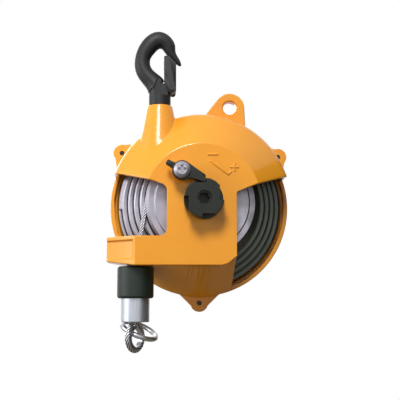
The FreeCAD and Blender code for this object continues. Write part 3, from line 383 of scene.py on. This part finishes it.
# The free rope's hidden end, inside the stopper, is laid so closely that it has its real lay once the rope is
# drawn out by its full travel of 1.3 m.
travel, bend_leg, guide_to_foot = 1.3, 0.005, 0.029
middle = np.array([axis_x, joint_y, axis_z])
corner = middle + knee
start = middle + (leave_r * np.cos(leave_angle), leave_y, leave_r * np.sin(leave_angle))
foot = corner + (0, 0, -guide_to_foot)
upper = (start - corner) / np.linalg.norm(start - corner)
bend = np.linspace(0, 1, 12)[1:-1, None]
before, after = corner + upper * bend_leg, corner + (0, 0, -bend_leg)
rounded = (1 - bend) ** 2 * before + 2 * bend * (1 - bend) * corner + bend ** 2 * after
straight = start + (before - start) * np.linspace(0, 1, 50)[:, None]
stretch_top, stretch_foot = after[2] - 0.0006, foot[2] + 0.0005
fine = np.linspace(after[2], foot[2], 4000)
share = np.clip((stretch_top - fine) / (stretch_top - stretch_foot), 0, 1)
drawn = (after[2] - fine) + travel * share ** 2 * (3 - 2 * share)
steps = np.linspace(0, drawn[-1], 1400)
height = np.interp(steps, drawn, fine)
drop = np.stack([np.full_like(height, after[0]), np.full_like(height, after[1]), height], -1)
path = np.concatenate([straight, rounded, drop])
near = np.concatenate([straight, rounded, drop[:1]])
reach_near = distance_along(near)
along = np.concatenate([reach_near[:-1], reach_near[-1] + steps])
free = laid_rope("free_strands", path, (0, 1, 0), along, wire)
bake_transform(free)
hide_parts("rope_run")

# The eye under the ferrule: two straight legs that touch a round foot, in a plane turned 55 degrees from the
# front. Each leg starts 2.8 mm off the middle and meets the foot's circle as a tangent, at the angle "touch".
leg_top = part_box("ferrule")[0].z + rope_r
eye_r, neck, plane = 0.0125, 0.0028, np.radians(55)
eye_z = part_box("rope_loop")[0].z + eye_r + rope_r
rise = leg_top - eye_z
touch = np.pi - np.arctan2(rise, neck) + np.arccos(eye_r / np.hypot(neck, rise))
arc = np.linspace(touch, 3 * np.pi - touch, 90)
arc_u, arc_z = eye_r * np.cos(arc), eye_z + eye_r * np.sin(arc)
leg = np.linspace(0, 1, 24, endpoint=False)
eye_u = np.concatenate([-neck + (arc_u[0] + neck) * leg, arc_u, (arc_u[-1] + (neck - arc_u[-1]) * leg)[1:]])
eye_h = np.concatenate([leg_top + (arc_z[0] - leg_top) * leg, arc_z,
                        (arc_z[-1] + (leg_top - arc_z[-1]) * leg)[1:]])
eye = np.stack([foot[0] + eye_u * np.cos(plane), foot[1] + eye_u * np.sin(plane), eye_h], -1)
loop = laid_rope("loop_strands", eye, (-np.sin(plane), np.cos(plane), 0), distance_along(eye), wire)
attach(loop, "rope_end")
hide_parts("rope_loop")


# ---------------------------------------------------------------- ratchet wheel, pawl and screws
# The tensioning wheel, its pawl, the spindle and the cover screws are steel, hardened and oil-blacked: nearly
# black, with a thin uneven film of oil. The wheel is keyed to the spindle, and the pawl turns on a plated
# screw.
oiled, tree, shader = material("oiled_black")
place = add(tree, "TexCoord").outputs["Object"]
patch = add(tree, "TexNoise", {"Scale": 110.0, "Detail": 4.0}, {"Vector": place})
tone = add(tree, "MixRGB", {"Color1": linear("0f120d"), "Color2": linear("20241c")},
           {"Fac": patch.outputs["Fac"]})
film = add(tree, "TexNoise", {"Scale": 260.0, "Detail": 3.0}, {"Vector": place})
rough = add(tree, "MapRange", {"To Min": 0.24, "To Max": 0.52}, {"Value": film.outputs["Fac"]})
bump = add(tree, "Bump", {"Strength": 0.15, "Distance": 0.0004}, {"Height": film.outputs["Fac"]})
tree.links.new(tone.outputs["Color"], shader.inputs["Base Color"])
tree.links.new(rough.outputs["Result"], shader.inputs["Roughness"])
tree.links.new(bump.outputs["Normal"], shader.inputs["Normal"])
shader.inputs["Metallic"].default_value = 0.4
for node in ("spindle", "cover_screws"):
    dress(node, oiled)
wheel = softened("ratchet_wheel", "wheel", oiled, "spindle", width=0.0005)
catch = softened("pawl", "catch", oiled, "pawl", width=0.0005)

# The pawl's screw is zinc plated and has gone dull, in patches of about 2 mm.
dulled, tree, shader = material("dulled_zinc")
place = add(tree, "TexCoord").outputs["Object"]
patch = add(tree, "TexNoise", {"Scale": 420.0, "Detail": 4.0}, {"Vector": place})
tone = add(tree, "MixRGB", {"Color1": linear("77747c"), "Color2": linear("b0adb6")},
           {"Fac": patch.outputs["Fac"]})
rough = add(tree, "MapRange", {"To Min": 0.35, "To Max": 0.6}, {"Value": patch.outputs["Fac"]})
tree.links.new(tone.outputs["Color"], shader.inputs["Base Color"])
tree.links.new(rough.outputs["Result"], shader.inputs["Roughness"])
shader.inputs["Metallic"].default_value = 0.9
dress("pawl_screw", dulled)


# ---------------------------------------------------------------- marks on the plate
# A minus, a plus and an arrow between them stand 0.9 mm proud of the plate, cast with it, and show which way
# to turn the wheel for less or more pull.
def raised_bar(start, end):
    """Rings of a bar with round ends and a domed top. Its outline, a half circle round each end, rises from
    under the plate in five rings, which draw in as a quarter circle does."""
    start, end = np.array(start), np.array(end)
    way = (end - start) / np.linalg.norm(end - start)
    side = np.array([-way[1], way[0]])
    half = np.linspace(-np.pi / 2, np.pi / 2, 9)
    ahead = np.concatenate([np.cos(half), -np.cos(half)])
    across = np.concatenate([np.sin(half), -np.sin(half)])
    round_end = (ahead[:, None] * way + across[:, None] * side) * bar_width / 2
    centre = np.repeat([end, start], len(half), axis=0)
    flat = centre + round_end * np.array([1.15, 1.0, 0.86, 0.62, 0.3])[:, None, None]
    lift = np.array([0.0, 0.35, 0.7, 0.92, 1.0])[:, None]
    depth = plate_y + bar_root - (bar_height + bar_root) * lift + np.zeros(len(centre))
    return np.stack([axis_x + flat[..., 0], depth, axis_z + flat[..., 1]], -1)


plate_y = joint_y - 0.072
bar_width, bar_height, bar_root = 0.0020, 0.0009, 0.0003        # the root is sunk in the plate
# the two ends of each bar, across and up from the drum's axis
minus = (((0.0050, 0.0447), (0.0137, 0.0447)),)
arrow = (((0.0069, 0.0384), (0.0243, 0.0254)), ((0.0243, 0.0254), (0.0268, 0.0279)))
plus = (((0.0268, 0.0324), (0.0340, 0.0324)), ((0.0304, 0.0288), (0.0304, 0.0360)))
points, faces = [], []
for start_point, end_point in minus + arrow + plus:
    rings = raised_bar(start_point, end_point)
    faces += [[number + len(points) for number in face] for face in tube_faces(*rings.shape[:2])]
    points += rings.reshape(-1, 3).tolist()
marks = mesh_object("marks", points, faces, enamel)
marks.data.shade_smooth()
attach(marks, "housing")


# ---------------------------------------------------------------- rope end
# At the rope's end come a rubber buffer, which stops it at the guide, an aluminium ferrule, and an eye lined
# with a steel thimble, in which the load ring hangs.

# The buffer is moulded rubber. Its skin is dull and slightly greenish, with a moulding grain of 0.5 mm.
rubber, tree, shader = material("black_rubber")
place = add(tree, "TexCoord").outputs["Object"]
patch = add(tree, "TexNoise", {"Scale": 130.0, "Detail": 4.0}, {"Vector": place})
tone = add(tree, "MixRGB", {"Color1": linear("0b140e"), "Color2": linear("18271c")},
           {"Fac": patch.outputs["Fac"]})
grain = add(tree, "TexNoise", {"Scale": 2000.0, "Detail": 1.0}, {"Vector": place})
bump = add(tree, "Bump", {"Strength": 0.35, "Distance": 0.0003}, {"Height": grain.outputs["Fac"]})
tree.links.new(tone.outputs["Color"], shader.inputs["Base Color"])
tree.links.new(bump.outputs["Normal"], shader.inputs["Normal"])
shader.inputs["Roughness"].default_value = 0.48
shader.inputs["Specular IOR Level"].default_value = 0.4
dress("rubber_stopper", rubber)

# The ferrule is soft aluminium pressed round the rope, with drawing lines along it about 1 mm apart.
crimped, tree, shader = material("pressed_aluminium")
place = add(tree, "TexCoord").outputs["Object"]
drawn_out = add(tree, "Mapping", {"Scale": (1.0, 1.0, 0.06)}, {"Vector": place})
lines = add(tree, "TexNoise", {"Scale": 900.0, "Detail": 3.0}, {"Vector": drawn_out.outputs["Vector"]})
tone = add(tree, "MixRGB", {"Color1": linear("a0a5ae"), "Color2": linear("d3d7e0")},
           {"Fac": lines.outputs["Fac"]})
bump = add(tree, "Bump", {"Strength": 0.25, "Distance": 0.0003}, {"Height": lines.outputs["Fac"]})
tree.links.new(tone.outputs["Color"], shader.inputs["Base Color"])
tree.links.new(bump.outputs["Normal"], shader.inputs["Normal"])
shader.inputs["Metallic"].default_value = 0.9
shader.inputs["Roughness"].default_value = 0.38
dress("ferrule", crimped)
dress("thimble", plated)
dress("load_ring", plated)

# The guide bush is turned from black nylon and pressed into the outlet.
nylon, tree, shader = material("guide_nylon")
place = add(tree, "TexCoord").outputs["Object"]
rings = add(tree, "TexNoise", {"Scale": 400.0, "Detail": 2.0}, {"Vector": place})
tone = add(tree, "MixRGB", {"Color1": linear("161617"), "Color2": linear("232324")},
           {"Fac": rings.outputs["Fac"]})
bump = add(tree, "Bump", {"Strength": 0.15, "Distance": 0.0002}, {"Height": rings.outputs["Fac"]})
tree.links.new(tone.outputs["Color"], shader.inputs["Base Color"])
tree.links.new(bump.outputs["Normal"], shader.inputs["Normal"])
shader.inputs["Roughness"].default_value = 0.5
dress("rope_guide_bush", nylon)


# ---------------------------------------------------------------- floor, light and camera
# A plain white floor under the hanging balancer, 0.1 m below the ring when the rope is drawn out, and soft
# light from the upper left.
floor_gap, floor_half = 0.1, 6
white, tree, shader = material("floor_white")
shader.inputs["Base Color"].default_value = linear("bdbdbd")
shader.inputs["Roughness"].default_value = 0.9
rays = add(tree, "LightPath")
seen = add(tree, "Math", None, {0: rays.outputs["Is Camera Ray"], 1: rays.outputs["Is Glossy Ray"]},
           operation="MAXIMUM")
glow = 0.90
lift = add(tree, "Math", {1: glow}, {0: seen.outputs[0]}, operation="MULTIPLY")
shader.inputs["Emission Color"].default_value = (1, 1, 1, 1)
tree.links.new(lift.outputs[0], shader.inputs["Emission Strength"])
low = cad_box[0].z - travel - floor_gap
sides = ((-1, -1), (1, -1), (1, 1), (-1, 1))
corners = [(x * floor_half, y * floor_half, low) for x, y in sides]
floor = mesh_object("floor", corners, [(0, 1, 2, 3)], white)

world = bpy.data.worlds.new("studio")
bpy.context.scene.world = world
world.use_nodes = True
tree = world.node_tree
rays = add(tree, "LightPath")
seen = add(tree, "Math", None, {0: rays.outputs["Is Camera Ray"], 1: rays.outputs["Is Glossy Ray"]},
           operation="MAXIMUM")
clear = add(tree, "Math", None, {0: seen.outputs[0], 1: rays.outputs["Is Transmission Ray"]},
            operation="MAXIMUM")
lighting, background = 0.27, 1.0
level = add(tree, "MapRange", {"To Min": lighting, "To Max": background}, {"Value": clear.outputs[0]})
back = tree.nodes["Background"]
back.inputs["Color"].default_value = (1, 1, 1, 1)
tree.links.new(level.outputs["Result"], back.inputs["Strength"])

centre = Vector((axis_x, joint_y, axis_z))
for name, place, size, power in (("key", (-0.22, -1.05, 0.92), 0.40, 17.0),
                                 ("side", (-1.2, -0.35, 0.25), 0.6, 8.0),
                                 ("rear", (-0.5, 1.3, 0.5), 1.0, 12.0)):
    lamp = bpy.data.lights.new(name, "AREA")
    lamp.size, lamp.energy = size, power
    light = bpy.data.objects.new(name, lamp)
    bpy.context.scene.collection.objects.link(light)
    light.location = centre + Vector(place)
    light.rotation_euler = (-Vector(place)).to_track_quat("-Z", "Y").to_euler()

# A dark card on the right and a brown one lying under the object, which only the object sees, give the metal
# its dark side and keep the underside in shade.
x, y, z = centre
right, rear, top_z, foot_z = x + 0.42, y + 0.5, z + 0.28, cad_box[0].z - 0.03
for name, tint, corners in (
        ("card_right", "2c2f2a", ((right, y - 0.55, foot_z), (right, rear, foot_z),
                                  (right, rear, top_z), (right, y - 0.55, top_z))),
        ("card_under", "8a8378", ((x - 0.3, y - 0.35, foot_z), (right, y - 0.35, foot_z),
                                  (right, rear, foot_z), (x - 0.3, rear, foot_z)))):
    paper, tree, shader = material(name)
    shader.inputs["Base Color"].default_value = linear(tint)
    shader.inputs["Roughness"].default_value = 0.9
    shader.inputs["Specular IOR Level"].default_value = 0.0
    rays = add(tree, "LightPath")
    clear = add(tree, "Math", None, {0: rays.outputs["Is Camera Ray"], 1: rays.outputs["Is Shadow Ray"]},
                operation="MAXIMUM")
    unseen = add(tree, "BsdfTransparent")
    mixed = add(tree, "MixShader", None, {0: clear.outputs[0], 1: shader.outputs["BSDF"],
                                          2: unseen.outputs["BSDF"]})
    tree.links.new(mixed.outputs["Shader"], tree.nodes["Material Output"].inputs["Surface"])
    mesh_object(name, corners, [(0, 1, 2, 3)], paper)

# the camera hangs 0.9 m in front of the drum, a little to the left and below it
camera = bpy.data.objects.new("camera", bpy.data.cameras.new("camera"))
bpy.context.scene.collection.objects.link(camera)
camera.location = centre + Vector((-0.0496, -0.900, -0.099))
aim = centre + Vector((0.0007, -0.005, 0.008)) - camera.location
camera.rotation_euler = aim.to_track_quat("-Z", "Y").to_euler()
camera.data.lens = 78.07
bpy.context.scene.camera = camera
bpy.context.scene.view_settings.view_transform = "Standard"
